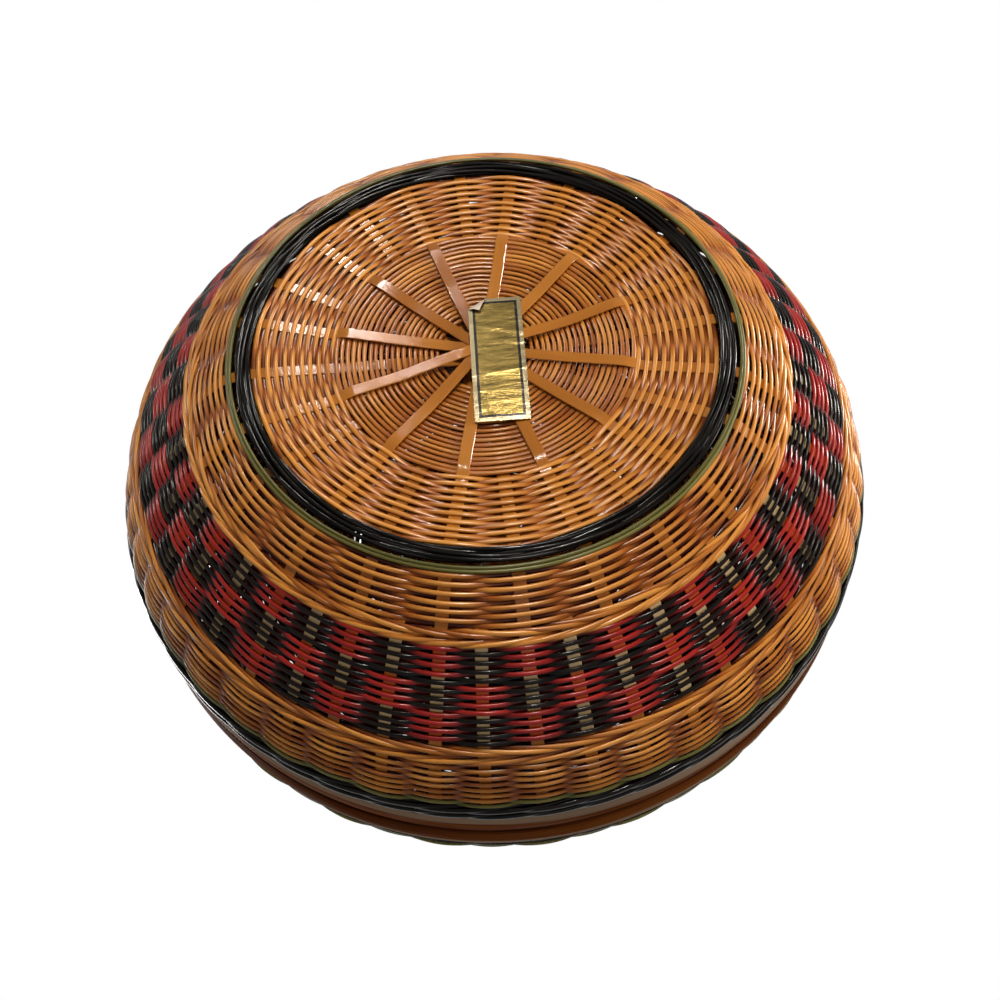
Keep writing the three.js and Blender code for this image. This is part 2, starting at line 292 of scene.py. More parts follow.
class Piece:
    """Gathers closed tubes and strips into one object, each with its tone and texture coordinates."""

    def __init__(self):
        self.points, self.loops, self.sizes, self.uvs = [], [], [], []
        self.tones, self.tints = [], []
        self.count = 0

    def add(self, grid, tone, ring, tint=0.0):
        """Takes (steps, sides, 3) points round a tube. A ring joins its own start, others get end caps."""
        steps, sides, _ = grid.shape
        index = np.arange(steps * sides).reshape(steps, sides)
        i, j = np.meshgrid(np.arange(steps if ring else steps - 1), np.arange(sides), indexing="ij")
        after = (i + 1) % steps
        beside = (j + 1) % sides
        quads = np.stack([index[i, j], index[i, beside], index[after, beside], index[after, j]], -1)
        middle = grid.mean(1)
        length = running_length(np.diff(middle, axis=0, append=middle[:1]))
        girth = running_length(np.roll(grid[0], -1, 0) - grid[0])
        start = chance.uniform(0, GRAIN_LENGTH)
        u = np.stack([length[i], length[i], length[i + 1], length[i + 1]], -1) + start
        v = np.stack([girth[j], girth[j + 1], girth[j + 1], girth[j]], -1)
        faces = [quads.reshape(-1, 4)]
        uvs = [np.stack([u, v], -1).reshape(-1, 4, 2)]
        if not ring:
            for cap in (index[:1, ::-1], index[-1:]):
                faces.append(cap)
                uvs.append(np.full((1, sides, 2), start))
        points = grid.reshape(-1, 3)
        if sum(signed_volume(points, corners) for corners in faces) < 0:
            faces = [corners[:, ::-1] for corners in faces]
            uvs = [uv[:, ::-1] for uv in uvs]
        self.points.append(points)
        self.loops += [corners.ravel() + self.count for corners in faces]
        self.sizes += [np.full(len(corners), corners.shape[1]) for corners in faces]
        self.uvs += [uv.reshape(-1, 2) for uv in uvs]
        self.tones.append(over_grid(tone, steps, sides))
        self.tints.append(over_grid(tint, steps, sides))
        self.count += len(points)

    def build(self, name, body, finish, nodes=(), sharp=None):
        """Makes the object. sharp is the angle in degrees from which its edges stay sharp."""
        points = np.concatenate(self.points) * MM
        loops = np.concatenate(self.loops)
        sizes = np.concatenate(self.sizes)
        starts = np.concatenate([[0], np.cumsum(sizes)[:-1]])
        mesh = bpy.data.meshes.new(name)
        mesh.vertices.add(len(points))
        mesh.vertices.foreach_set("co", points.astype(np.float32).ravel())
        mesh.loops.add(len(loops))
        mesh.loops.foreach_set("vertex_index", loops.astype(np.int32))
        mesh.polygons.add(len(sizes))
        mesh.polygons.foreach_set("loop_start", starts.astype(np.int32))
        mesh.update(calc_edges=True)
        mesh.polygons.foreach_set("use_smooth", np.ones(len(sizes), bool))
        uv = mesh.uv_layers.new(name="UVMap")
        uv.data.foreach_set("uv", np.concatenate(self.uvs).astype(np.float32).ravel())
        for label, values in (("tone", self.tones), ("tint", self.tints)):
            attribute = mesh.attributes.new(label, "FLOAT", "POINT")
            attribute.data.foreach_set("value", np.concatenate(values).astype(np.float32))
        if sharp:
            mesh.set_sharp_from_angle(angle=math.radians(sharp))
        add_piece(name, mesh, body, finish, nodes)


# Stakes and the weavers that go round them

class Stakes:
    """Angles in degrees of the stakes, which drift a little on their way up."""

    def __init__(self, seed):
        scatter, wander = 0.35, 0.45
        own = np.random.default_rng(seed)
        half = own.normal(0, scatter, STRIPS)
        self.base = FIRST_STAKE + STAKE_STEP * np.arange(STAKES) + np.concatenate([half, half])
        self.drift = own.normal(0, wander, STAKES)
        self.added = own.normal(0, scatter, STAKES)

    def angles(self, drift, added=False):
        """All the stakes' angles in order, with the added ones between the strip ends if asked for."""
        ends = self.base + drift * self.drift
        if not added:
            return ends
        following = np.append(ends[1:], ends[0] + 360)
        between = (ends + following) / 2 + self.added
        return np.stack([ends, between], 1).ravel()


def turns(stakes, steps):
    """Stake numbers, running on between the stakes, and the angles in radians that go with them."""
    count = len(stakes)
    number = np.arange(count * steps) / steps
    known = np.concatenate([stakes, [stakes[0] + 360]])
    return number, np.radians(np.interp(number, np.arange(count + 1), known))


def between_stakes(number, values):
    """Values given at each stake, changing evenly from one to the next and back to the first."""
    return np.interp(number, np.arange(len(values) + 1), np.append(values, values[0]))


def tube(face, turn, along, lift, width, depth, sides=8, square=1.0):
    """Points round a weaver. lift is how far its middle lies outside the face. square under 1 squares it."""
    radius, height, slope_r, slope_z = face.at(along)
    out_r, out_z = slope_z, -slope_r
    around = 2 * math.pi * np.arange(sides) / sides
    width = np.broadcast_to(np.asarray(width, float), turn.shape)
    depth = np.broadcast_to(np.asarray(depth, float), turn.shape)
    side = width[:, None] / 2 * signed_power(np.cos(around), square)
    proud = depth[:, None] / 2 * signed_power(np.sin(around), square)
    r = (radius + out_r * lift)[:, None] + side * slope_r[:, None] + proud * out_r[:, None]
    z = (height + out_z * lift)[:, None] + side * slope_z[:, None] + proud * out_z[:, None]
    return round_axis(r, z, turn)


def woven_row(piece, face, stakes, place, beat, *, width=1.2, depth=0.92, swing=0.7, middle=MIDDLE,
              tone=0.5, uneven=0.09, sides=8, flat=0.75, square=1.0):
    """A weaver that goes over one stake and under the next, all the way round.

    beat 1 starts one stake later than beat 0. swing is how far the weaver moves from the middle's depth.
    uneven is the spread of the rows' tones. flat under 1 keeps the weaver longer at its height.
    """
    number, turn = turns(stakes, steps=8)
    seed = int(beat * 977 + place * 31)
    own = np.random.default_rng(seed)
    over = signed_power(np.cos(math.pi * (number + beat)), flat)
    strength = between_stakes(number, own.normal(1, 0.09, len(stakes)))
    nudge = between_stakes(number, own.normal(0, 0.08, len(stakes)))
    lift = -middle + swing * over * strength
    along = place + nudge + waves(turn, 0.035, seed, 6)
    girth = width * own.uniform(0.93, 1.06) * (1 + waves(turn, 0.02, seed + 1, 7)) * (1.15 - 0.15 * over)
    # The last term is painted light and shade: the weaver is lighter where it lies over a stake and darker
    # where it dives under
    shade = tone + own.normal(0, uneven) + waves(turn, 0.05, seed + 2, 6) + 0.55 * swing * over
    piece.add(tube(face, turn, along, lift, girth, depth, sides, square), shade, ring=True)


def waled_row(piece, face, stakes, place, *, lean=1, width=1.35, depth=1.0, rise=0.9, swing=0.85,
              middle=MIDDLE, tone=0.6, seed=0, sides=8):
    """Three strands that each pass over two stakes and behind the third, lying across each other.

    lean is the way they slant, 1 or -1, and rise is how far they slide along the face on their way.
    """
    number, turn = turns(stakes, steps=10)
    own = np.random.default_rng(seed + 100)
    for strand in range(3):
        travel = (lean * number + 0.5 + strand) % 3
        height = smoothed(np.interp(travel, *zip(*WALE_HEIGHTS)))
        slide = smoothed(np.interp(travel, *zip(*WALE_SLIDES)))
        lift = -middle + swing * height * (1 + waves(turn, 0.05, seed + strand, 6))
        along = place + rise * slide + waves(turn, 0.06, seed + strand + 9, 7)
        girth = width * own.uniform(0.94, 1.06) * (1 + waves(turn, 0.02, seed + strand + 5, 7))
        patches = waves(turn, 0.06, seed + strand + 3, 6)
        # The last term is painted light and shade: a strand is lighter where it lies high over the stakes and
        # darker where it goes behind them
        shade = tone + own.normal(0, TONE_SPREAD) + patches + 0.4 * (height - 0.4)
        piece.add(tube(face, turn, along, lift, girth, depth, sides), shade, ring=True)


def plain_row(piece, face, place, lift, *, width, depth, seed, sway, tone=0.5):
    """A strand laid round without going over and under."""
    turn = full_turn(288)
    along = place + waves(turn, sway, seed, 5)
    height = lift + waves(turn, sway * 0.4, seed + 1, 6)
    girth = width * (1 + waves(turn, 0.02, seed + 2, 7))
    shade = tone + waves(turn, 0.05, seed + 3, 5)
    piece.add(tube(face, turn, along, height, girth, depth, sides=10), shade, ring=True)


def woven_band(name, body, node, finish, face, stakes, places, *, beats=(0, 1), **looks):
    """A band of woven rows. beats are the rows' beats in turn, and looks go on to each row."""
    rows = Piece()
    for row, place in enumerate(places):
        woven_row(rows, face, stakes, place, beats[row % len(beats)], **looks)
    rows.build(name, body, finish, [node])


def check_tier(prefix, tier, body, face, stakes, places, node, width):
    """Red and black rows in turn, red over the strip ends in one tier and over added stakes in the next."""
    reds, blacks = Piece(), Piece()
    for row, place in enumerate(places):
        over_ends = row % 2 == 0
        is_red = over_ends == (tier % 2 == 0)
        woven_row(reds if is_red else blacks, face, stakes, place, row % 2, width=width)
    reds.build(f"{prefix}_tier_{tier + 1}_red_rows", body, RED, [node])
    blacks.build(f"{prefix}_tier_{tier + 1}_black_rows", body, BLACK)


# Strips and added stakes

def ribbon(piece, line, across, up, width, tone, tint):
    """A flat strip with small rounded edges. Its width lies along across and its thickness along up."""
    w, t = width / 2, STRIP_THICKNESS / 2
    edge = t * 0.8
    inner = [(-w, -t + edge), (-w + edge, -t), (w - edge, -t), (w, -t + edge)]
    outer = [(w, t - edge), (w - edge, t), (-w + edge, t), (-w, t - edge)]
    section = np.array(inner + outer)
    grid = line[:, None] + section[:, :1] * across[:, None] + section[:, 1:] * up[:, None]
    piece.add(grid, tone, ring=False, tint=tint)


def smooth_path(points, step=1.2, rounds=3):
    """A path of (radius, height) pairs resampled at even steps, with its corners rounded."""
    points = np.array(points, float)
    run = running_length(np.diff(points, axis=0))
    even = np.linspace(0, run[-1], max(8, int(run[-1] / step)))
    path = np.stack([np.interp(even, run, points[:, k]) for k in (0, 1)], 1)
    for _ in range(rounds):
        inner = (path[:-2] + 2 * path[1:-1] + path[2:]) / 4
        path = np.concatenate([path[:1], inner, path[-1:]])
    return path


def dyed(body, line, kind):
    """1 where a stake passes a red square, -1 where it passes a black one and 0 elsewhere.

    kind is 0 for a strip's end and 1 for an added stake.
    """
    if body == "basket":
        place, edges = line[:, 2], CHECK_HEIGHTS
    else:
        place, edges = -np.hypot(line[:, 0], line[:, 1]), [-radius for radius in LID_CHECK_RADII]
    tint = np.zeros(len(line))
    for tier, (low, high) in enumerate(zip(edges, edges[1:])):
        tint[(place > low) & (place <= high)] = 1 if tier % 2 == kind else -1
    if body == "lid":
        tint[line[:, 2] < LID_HOOP[1]] = 0
    return tint


def strip_across(node, body, path, near_angle, far_angle, bow):
    """A strip that crosses the middle. path is its half from the middle outwards.

    The angles in degrees are those of its two ends, and bow is how far each half bends sideways.
    """
    turn_reach, bow_reach = 12, 40
    half = smooth_path(path)
    radius = np.concatenate([-half[::-1][:-1, 0], half[:, 0]])
    height = np.concatenate([half[::-1][:-1, 1], half[:, 1]])
    opposite = far_angle - 180
    share = smooth_step((radius / turn_reach + 1) / 2)
    out, across = directions(np.radians(opposite + (near_angle - opposite) * share))
    sway = bow * np.sin(math.pi * np.clip(np.abs(radius) / bow_reach, 0, 1)) * np.sign(radius)
    line = out * radius[:, None] + across * sway[:, None]
    line[:, 2] += height
    up = np.cross(np.gradient(line, axis=0), across)
    up /= np.linalg.norm(up, axis=1)[:, None]
    patches = waves(radius / bow_reach, 0.04, int(abs(near_angle) * 10), 4)
    tone = 0.5 + chance.normal(0, TONE_SPREAD) + patches
    piece = Piece()
    ribbon(piece, line, across, up, STRIP_WIDTH, tone, dyed(body, line, 0))
    piece.build(node + "_bamboo", body, STRIP, [node], sharp=40)


def strips(prefix, body, face, stakes, fine_edge, climb, outwards, bows):
    """Twelve strips across the middle. Every second one lies outside the fine weave and the rest inside it.

    Near the middle each strip lies on those before it on its side. climb is their path beyond the fine weave.
    outwards is 1 for a face that looks up and -1 for one that looks down.
    """
    stack_step, flat_middle = 0.35, 7.5
    outside_depth, inside_depth = -0.5, 1.45
    dip_start, dip_end = 0.9, 0.7
    settled = min(24, fine_edge - 3)
    middle = float(face.point(face.at_radius(0), 0)[1])
    ends = stakes.angles(0.5)
    for number in range(STRIPS):
        outside = number % 2 == 0
        raised = stack_step * (number // 2)
        depth = outside_depth if outside else inside_depth
        centre = middle - outwards * (depth - raised if outside else depth + raised)
        path = [(0, centre), (flat_middle, centre)]
        dip = ((settled, depth), (fine_edge - dip_start, depth), (fine_edge + dip_end, MIDDLE))
        for radius, level in dip:
            path.append(face.point(face.at_radius(radius), level))
        node = f"{prefix}_strip_{number + 1:02d}"
        strip_across(node, body, path + climb, ends[number], ends[number + STRIPS], bows[number])


def added_stakes(name, body, face, angles, start, end):
    """Stakes added between the strip ends, which lie along a face between two places on it."""
    along = np.linspace(start, end, 30)
    radius, height = face.point(along, MIDDLE)
    _, _, slope_r, slope_z = face.at(along)
    piece = Piece()
    for angle in angles:
        out, across = directions(np.radians(angle))
        line = out * radius[:, None]
        line[:, 2] += height
        up = out * slope_z[:, None]
        up[:, 2] -= slope_r
        tone = 0.5 + chance.normal(0, TONE_SPREAD)
        across = np.broadcast_to(across, line.shape)
        ribbon(piece, line, across, up, ADDED_WIDTH, tone, dyed(body, line, 1))
    piece.build(name, body, STRIP, sharp=40)


# Materials

def new_material(name):
    """A material, its node tree and its main shader."""
    material = bpy.data.materials.new(name)
    material.use_nodes = True
    tree = material.node_tree
    return material, tree, tree.nodes["Principled BSDF"]


def connect(tree, node, inputs):
    """Gives a node's inputs, by name or number, their values. A value can be another node's output."""
    for socket, value in inputs.items():
        if isinstance(value, bpy.types.NodeSocket):
            tree.links.new(value, node.inputs[socket])
        else:
            node.inputs[socket].default_value = value


def add_node(tree, kind, inputs):
    """A new node with its inputs set."""
    node = tree.nodes.new("ShaderNode" + kind)
    connect(tree, node, inputs)
    return node


def compute(tree, operation, first, second=0.0, clamp=False):
    """The result of a Math node's operation on two values."""
    node = add_node(tree, "Math", {0: first, 1: second})
    node.operation = operation
    node.use_clamp = clamp
    return node.outputs[0]


def change(tree, value, strength):
    """Noise of 0 to 1 as a change down or up, of a given strength."""
    return compute(tree, "MULTIPLY", compute(tree, "SUBTRACT", value, 0.5), strength)


def attribute(tree, name):
    """A number that the mesh keeps at each point."""
    node = tree.nodes.new("ShaderNodeAttribute")
    node.attribute_name = name
    return node.outputs["Fac"]


def noise(tree, place, detail, scale=1.0, roughness=0.5):
    """Noise of about 0 to 1 at a place."""
    inputs = {"Vector": place, "Scale": scale, "Detail": detail, "Roughness": roughness}
    return add_node(tree, "TexNoise", inputs).outputs["Fac"]


def uv_place(tree):
    """The texture coordinates, in millimetres: along a piece and round it."""
    node = tree.nodes.new("ShaderNodeUVMap")
    node.uv_map = "UVMap"
    return node.outputs["UV"]


def stretched(tree, place, scale, turn=0.0):
    """A place scaled along and across, after a turn in radians."""
    inputs = {"Vector": place, "Rotation": (0, 0, turn), "Scale": (*scale, 1)}
    return add_node(tree, "Mapping", inputs).outputs["Vector"]


def map_range(tree, value, source, target, kind="LINEAR"):
    """Takes a value from one (low, high) range to another."""
    inputs = {"Value": value, "From Min": source[0], "From Max": source[1]}
    node = add_node(tree, "MapRange", {**inputs, "To Min": target[0], "To Max": target[1]})
    node.interpolation_type = kind
    return node.outputs["Result"]


def ramp(tree, value, stops):
    """A colour by value, from (position, colour) pairs."""
    node = add_node(tree, "ValToRGB", {"Fac": value})
    elements = node.color_ramp.elements
    for element, (position, colour) in zip(elements, (stops[0], stops[-1])):
        element.position = position
        element.color = (*colour, 1)
    for position, colour in stops[1:-1]:
        elements.new(position).color = (*colour, 1)
    return node.outputs["Color"]


def mixed(tree, amount, under, colour):
    """Covers what lies under with a plain colour, by an amount of 0 to 1."""
    node = tree.nodes.new("ShaderNodeMix")
    node.data_type = "RGBA"
    connect(tree, node, {"Factor": amount, "A": under, "B": (*colour, 1)})
    return node.outputs["Result"]


def bumps(tree, height, strength, distance):
    """A surface direction from the height of fine relief. distance is in metres."""
    inputs = {"Height": height, "Strength": strength, "Distance": distance}
    return add_node(tree, "Bump", inputs).outputs["Normal"]


def bamboo(name, dark, mid, light, *, roughness, specular, streak=0.5, grain=(0.09, 5.5), dyes_and_sheen=(),
           cover=0.85):
    """Varnished split bamboo: fibres along each piece, a tone for each piece and slow stains over the whole.

    streak is the strength of the fibres and grain their fineness, along and across. The tone also carries
    painted
    shade and painted highlight: weavers lighter where they lie over and darker where they dive, hoops darker
    where they meet. The colours given as dyes are two, one where the tint is 1 and one where it is -1, each
    also in stray fibres, and cover is how much they hide. On the stakes they are dyes; on the hoops the first
    is the pale colour of a painted sheen.
    """
    blotch, fray = 0.35, 1.2
    patch_grain = (0.035, 0.2)
    noise_span, tint_edge = (0.3, 0.7), (0.3, 0.7)
    smoothest, roughest = 0.8, 1.4
    material, tree, shader = new_material(name)
    fibre = noise(tree, stretched(tree, uv_place(tree), grain), detail=4, roughness=0.6)
    patch = noise(tree, stretched(tree, uv_place(tree), patch_grain), detail=2)
    place = tree.nodes.new("ShaderNodeTexCoord").outputs["Object"]
    stain = noise(tree, place, detail=3, scale=22)
    total = change(tree, fibre, streak)
    for part in (change(tree, patch, blotch), change(tree, stain, blotch), attribute(tree, "tone")):
        total = compute(tree, "ADD", total, part)
    colour = ramp(tree, total, ((0.1, dark), (0.5, mid), (0.9, light)))
    for laid_colour, side in zip(dyes_and_sheen, (1, -1)):
        tint = compute(tree, "MULTIPLY", attribute(tree, "tint"), side)
        frayed = compute(tree, "ADD", tint, change(tree, fibre, fray))
        colour = mixed(tree, map_range(tree, frayed, tint_edge, (0, cover), "SMOOTHSTEP"), colour, laid_colour)
    connect(tree, shader, {
        "Base Color": colour,
        "Roughness": map_range(tree, patch, noise_span, (roughness * smoothest, roughness * roughest)),
        "Specular IOR Level": specular,
        "Normal": bumps(tree, fibre, strength=0.25, distance=0.0001),
    })
    return material


def foil_material():
    """Creased gold foil with a pale margin and a dark line inside it."""
    line_inset, line_width, margin_width = 1.5, 0.36, 1.2
    material, tree, shader = new_material("gold_foil")
    parts = add_node(tree, "SeparateXYZ", {0: uv_place(tree)})
    insets = []
    for place, size in zip(parts.outputs, (LABEL_RIGHT - LABEL_LEFT, LABEL_FAR - LABEL_NEAR)):
        insets.append(compute(tree, "MINIMUM", place, compute(tree, "SUBTRACT", size, place)))
    inset = compute(tree, "MINIMUM", *insets)
    beside_line = compute(tree, "ABSOLUTE", compute(tree, "SUBTRACT", inset, line_inset))
    line = compute(tree, "LESS_THAN", beside_line, line_width)
    margin = compute(tree, "LESS_THAN", inset, margin_width)
    crease_place = stretched(tree, uv_place(tree), (0.35, 1.6), turn=0.35)
    wrinkle = noise(tree, crease_place, detail=6, scale=0.33, roughness=0.65)
    # The colour ramp over the creases is painted reflection: the foil is lighter where the creases stand up
    # and darker where they sink
    colour = ramp(tree, wrinkle, ((0.32, (0.045, 0.031, 0.006)), (0.68, (0.185, 0.128, 0.034))))
    colour = mixed(tree, margin, colour, (0.22, 0.178, 0.095))
    colour = mixed(tree, line, colour, (0.012, 0.010, 0.008))
    printed = compute(tree, "MULTIPLY", compute(tree, "ADD", line, margin), 0.3)
    connect(tree, shader, {
        "Base Color": colour,
        "Metallic": compute(tree, "SUBTRACT", 0.6, printed),
        "Roughness": 0.2,
        "Specular IOR Level": 0.12,
        "Normal": bumps(tree, wrinkle, strength=0.4, distance=0.0004),
    })
    return material


def paper_material():
    """The label's plain paper back."""
    material, tree, shader = new_material("label_back")
    place = tree.nodes.new("ShaderNodeTexCoord").outputs["Generated"]
    fibre = noise(tree, place, detail=3, scale=900)
    colour = ramp(tree, fibre, ((0, (0.50, 0.38, 0.25)), (1, (0.66, 0.55, 0.41))))
    connect(tree, shader, {"Base Color": colour, "Roughness": 0.7})
    return material


# Finishes: a bamboo from its dark, middle and light colour, and a slot name for it
NATURAL_BAMBOO = bamboo("natural_bamboo", (0.055, 0.006, 0.001), (0.34, 0.089, 0.010), (0.70, 0.285, 0.05),
                        roughness=0.2, specular=0.10)
STRIP_BAMBOO = bamboo("bamboo_strip", (0.29, 0.088, 0.010), (0.47, 0.168, 0.023), (0.60, 0.25, 0.045),
                      roughness=0.09, specular=0.09, streak=0.45,
                      dyes_and_sheen=((0.62, 0.085, 0.018), (0.75, 0.56, 0.30)))
RED_BAMBOO = bamboo("red_bamboo", (0.03, 0.002, 0.002), (0.18, 0.008, 0.007), (0.37, 0.019, 0.014),
                    roughness=0.18, specular=0.085)
BLACK_BAMBOO = bamboo("black_bamboo", (0.001, 0.0007, 0.0005), (0.004, 0.003, 0.002), (0.010, 0.006, 0.004),
                      roughness=0.13, specular=0.055)
OLIVE_BAMBOO = bamboo("olive_bamboo", (0.035, 0.03, 0.005), (0.125, 0.112, 0.026), (0.23, 0.21, 0.06),
                      roughness=0.22, specular=0.07)
# The hoop's first dye colour is no dye but the pale colour of its painted sheen
HOOP_BAMBOO = bamboo("brown_hoop", (0.030, 0.006, 0.001), (0.14, 0.034, 0.005), (0.30, 0.092, 0.017),
                     roughness=0.55, specular=0.005, streak=1.5, grain=(0.03, 1.8),
                     dyes_and_sheen=((0.47, 0.345, 0.24), (0, 0, 0)), cover=0.7)
NATURAL = (NATURAL_BAMBOO, "natural_weave")
STRIP = (STRIP_BAMBOO, "bamboo_strip")
RED = (RED_BAMBOO, "red_bamboo")
BLACK = (BLACK_BAMBOO, "black_bamboo")
OLIVE = (OLIVE_BAMBOO, "olive_bamboo")
HOOP = (HOOP_BAMBOO, "brown_hoop")


# The basket

def make_base(stakes):
    """Strips that cross in the middle and rise into the wall, with a fine and a coarse weave round them."""
    rise = [BASE.point(BASE.at_radius(radius), MIDDLE) for radius in STRIP_BASE_RADII]
    rise += [WALL.point(WALL.at_height(height), MIDDLE) for height in STRIP_WALL_HEIGHTS]
    rise += [(STAKE_RADIUS, height) for height in STRIP_RIM_HEIGHTS]
    bows = chance.normal(0, 0.35, STRIPS)
    strips("base", "basket", BASE, stakes, FINE_EDGE, rise, outwards=-1, bows=bows)
    ends = stakes.angles(0.5)
    woven_band("base_fine_rows", "basket", "base_fine_weave", NATURAL, BASE, ends, FINE_ROWS, beats=(1,),
               width=1.06, depth=0.85, swing=0.13, middle=0.5, tone=0.6, uneven=0.07, sides=10, flat=1,
               square=0.85)
    woven_band("base_outer_rows", "basket", "base_outer_weave", NATURAL, BASE, ends, COARSE_ROWS,
               width=1.24, depth=0.72, swing=0.6, tone=0.55, square=0.75)


def foot_strand(ring, radius, phase, seed):
    """One of the thin black strands that are loosely twisted together in a part of the foot ring."""
    twists, swing_out, swing_up = 7, 0.33, 0.46
    turn = full_turn(432)
    twist = twists * turn + phase + waves(turn, 0.8, seed, 3)
    across = radius + swing_out * np.sin(twist) + waves(turn, 0.06, seed + 1)
    up = FOOT_PAIR_HEIGHT + swing_up * np.cos(twist)
    strand = tube(GROUND, turn, across - GROUND_START, -up, FOOT_STRAND, FOOT_STRAND)
    ring.add(strand, 0.5 + waves(turn, 0.12, seed + 2), ring=True)


def make_foot():
    """Three twisted black pairs that the basket stands on, and an olive pair outside them."""
    for k, radius in enumerate(FOOT_PAIR_RADII):
        ring = Piece()
        for strand in range(2):
            foot_strand(ring, radius, phase=2.1 * k + math.pi * strand, seed=60 + 9 * k)
        node = f"foot_ring_strand_{k + 1}"
        ring.build(node + "_black", "basket", BLACK, [node])
    pair = Piece()
    for k, place in enumerate(FOOT_OLIVE_ROWS):
        plain_row(pair, WALL, place, lift=-0.45, width=1.0, depth=0.95, tone=0.45 + 0.2 * k, seed=40 + k,
                  sway=0.07)
    pair.build("foot_olive_pair", "basket", OLIVE, ["foot_olive_strands"])


def wall_border(name, node, stakes, places, rise, seed):
    """Two waled rows on the wall that lean against each other."""
    rows = Piece()
    for k, (place, lean) in enumerate(zip(places, (-1, 1))):
        waled_row(rows, WALL, stakes, place, lean=lean, rise=rise, seed=seed + k)
    rows.build(name, "basket", NATURAL, [node])


def make_wall(body_stakes):
    """The bands of the wall from the foot up, and the stakes that are added above the lower weave."""
    ends = body_stakes.angles(0.7)
    woven_band("wall_lower_rows", "basket", "wall_weave_lower", NATURAL, WALL, ends, LOWER_ROWS)
    stakes = body_stakes.angles(1.0, added=True)
    wall_border("lower_border_strands", "twined_border_lower", stakes, LOWER_BORDER, rise=0.9, seed=11)
    for tier, places in enumerate(CHECK_ROWS.reshape(CHECK_TIERS, -1)):
        check_tier("check", tier, "basket", WALL, stakes, places, f"check_band_tier_{tier + 1}", width=1.27)
    wall_border("upper_border_strands", "twined_border_upper", stakes, UPPER_BORDER, rise=1.1, seed=21)
    woven_band("wall_upper_rows", "basket", "wall_weave_upper", NATURAL, WALL, stakes, UPPER_ROWS, tone=0.45)
    woven_band("wall_olive_pair", "basket", "wall_olive_strands", OLIVE, WALL, stakes, OLIVE_ROWS)
    waling = Piece()
    for k, place in enumerate(WALING_ROWS):
        waled_row(waling, WALL, stakes, place, width=2.05, depth=1.3, swing=0.9, middle=1.0, tone=0.5,
                  seed=31 + k, sides=10)
    waling.build("wall_black_strands", "basket", BLACK, ["wall_black_waling"])
    added_stakes("wall_added_stakes", "basket", WALL, stakes[1::2], *ADDED_STAKES)


# Hoops of the rim and the lid

def hoop_outline(inside, outside, low, high):
    """Outline of a hoop with rounded edges and a slightly crowned outer face."""
    crown, edge, bevel = 0.5, 1.0, 0.2
    shoulder = outside - crown
    corner = [math.pi / 2 * (k / 4) for k in range(5)]
    points = [(inside, low + bevel), (inside + bevel, low)]
    for a in corner:
        points.append((shoulder - edge + edge * math.sin(a), low + edge - edge * math.cos(a)))
    for k in range(1, 12):
        t = k / 12
        points.append((shoulder + crown * math.sin(math.pi * t), low + edge + (high - low - 2 * edge) * t))
    for a in corner:
        points.append((shoulder - edge + edge * math.cos(a), high - edge + edge * math.sin(a)))
    points += [(inside + bevel, high), (inside, high - bevel)]
    return points


def hoop(name, body, node, radii, heights, sheen_height, seed, sway):
    """A turned hoop with a painted sheen, a pale band near one height that is wider towards one side, and
    painted shade where the rim's hoop meets the lid's.
    """
    sheen_width, sheen_growth, sheen_turn = 3.6, 4.8, 0.5
    middle_tone, seam_shade, seam_width = 0.55, 0.45, 1.8
    outline = np.array(hoop_outline(*radii, *heights))
    turn = full_turn(288)
    radius, height = outline[None, :, 0], outline[None, :, 1]
    grid = round_axis(radius, height + waves(turn, sway, seed, 4)[:, None], turn)
    # Painted sheen: the tint lays a pale band near the given height for the light that the hoop's rounded
    # edge reflects, wider towards one side where that reflection is stronger
    sheen_spread = sheen_growth * np.maximum(0, np.cos(turn - sheen_turn)) ** 3
    sheen_reach = sheen_width + sheen_spread + waves(turn, 0.3, seed + 2, 6)
    tint = smooth_step(1 - np.abs(height - sheen_height) / sheen_reach[:, None])
    # Painted shade: both hoops are darker near the height where the rim's hoop meets the lid's
    seam = np.exp(-(((height - RIM_HOOP[1]) / seam_width) ** 2))
    tone = middle_tone + waves(turn, 0.1, seed + 1, 6)[:, None] - seam_shade * seam
    piece = Piece()
    piece.add(grid, tone, ring=True, tint=tint)
    piece.build(name, body, HOOP, [node], sharp=50)


def make_hoops():
    """The outer hoop and the inner lip of the basket and of the lid."""
    hoop("rim_outer_hoop", "basket", "rim_hoop_outer", HOOP_RADII, RIM_HOOP, RIM_SHEEN, seed=75, sway=0.05)
    hoop("rim_inner_hoop", "basket", "rim_hoop_inner", LIP_RADII, RIM_LIP, RIM_LIP[1], seed=75, sway=0)
    hoop("lid_outer_hoop", "lid", "lid_hoop_outer", HOOP_RADII, LID_HOOP, LID_SHEEN, seed=87, sway=0.05)
    hoop("lid_inner_hoop", "lid", "lid_hoop_inner", LIP_RADII, LID_LIP, LID_LIP[0], seed=91, sway=0)


# The lid

def rows_between(outer, inner, pitch=LID_PITCH):
    """Places of rows that share out the way between two radii on the dome."""
    start, end = DOME.at_radius(outer), DOME.at_radius(inner)
    count = max(1, round((end - start) / pitch))
    return start + (end - start) * (np.arange(count) + 0.5) / count


def lid_band(name, node, stakes, places, finish, width=1.5, middle=MIDDLE):
    """A woven band of the dome."""
    woven_band(name, "lid", node, finish, DOME, stakes, places, width=width, depth=1.05, swing=0.58,
               middle=middle, square=0.85)


def lid_border(name, node, stakes, radius, seed):
    """One waled row on the dome."""
    rows = Piece()
    waled_row(rows, DOME, stakes, DOME.at_radius(radius), rise=0.7, seed=seed)
    rows.build(name, "lid", NATURAL, [node])


